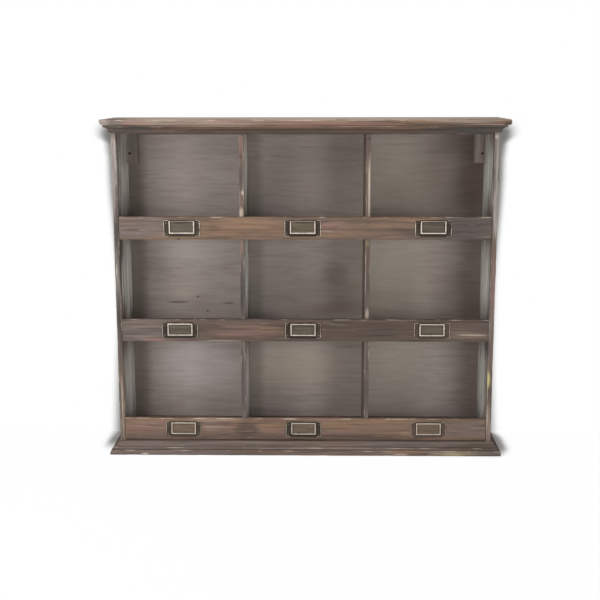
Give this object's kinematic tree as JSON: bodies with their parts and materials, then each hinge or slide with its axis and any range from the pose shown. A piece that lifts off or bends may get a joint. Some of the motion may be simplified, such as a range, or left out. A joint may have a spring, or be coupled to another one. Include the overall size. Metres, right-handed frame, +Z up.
{
  "type": "wall cubby",
  "caption": "Wall cubby in weathered wood: rows of open compartments behind low lips with brass label holders, coved crown and base, and drilled hanging blocks at the back.",
  "frame": {"origin": "bottom centre of the whole object, on the surface it stands on", "axes": "+X to the right across the front, +Y into the wall, +Z up; the front faces -Y"},
  "size_m": [0.66, 0.135, 0.5605],
  "materials": {
    "case_wood": "weathered, greyed and worn pale along the edges",
    "lip_wood": "weathered brown and grey boards with pale worn edges",
    "crown_wood": "weathered tan and grey with brown streaks",
    "base_wood": "weathered grey brown, worn pale on the edges",
    "panel_wood": "thin panel with fine grain across, dull",
    "block_wood": "rough sawn, dull",
    "aged_brass": "dark antique finish, bright where edges have rubbed",
    "nail_steel": "dull and darkened"
  },
  "bodies": {
    "root": {"back_brads": "nail_steel", "back_panel": "panel_wood", "base_board": "base_wood", "base_brads": "nail_steel", "base_moulding_front": "base_wood", "base_moulding_left": "base_wood", "base_moulding_right": "base_wood", "base_rail": "lip_wood", "base_rail_brads": "nail_steel", "bottom_board": "case_wood", "cap_board": "crown_wood", "cap_brads": "nail_steel", "cap_rail_brads": "nail_steel", "crown_moulding_front": "crown_wood", "crown_moulding_left": "crown_wood", "crown_moulding_right": "crown_wood", "divider_bottom_left": "case_wood", "divider_bottom_right": "case_wood", "divider_middle_left": "case_wood", "divider_middle_right": "case_wood", "divider_top_left": "case_wood", "divider_top_right": "case_wood", "hanging_block_left": "block_wood", "hanging_block_right": "block_wood", "label_holder_bottom_centre": "aged_brass", "label_holder_bottom_left": "aged_brass", "label_holder_bottom_right": "aged_brass", "label_holder_middle_centre": "aged_brass", "label_holder_middle_left": "aged_brass", "label_holder_middle_right": "aged_brass", "label_holder_top_centre": "aged_brass", "label_holder_top_left": "aged_brass", "label_holder_top_right": "aged_brass", "label_pins": "aged_brass", "left_side": "case_wood", "lip_bottom": "lip_wood", "lip_brads": "nail_steel", "lip_middle": "lip_wood", "lip_top": "lip_wood", "lower_shelf": "case_wood", "right_side": "case_wood", "side_brads": "nail_steel", "top_rail": "lip_wood", "upper_shelf": "case_wood"}
  },
  "joints": []
}
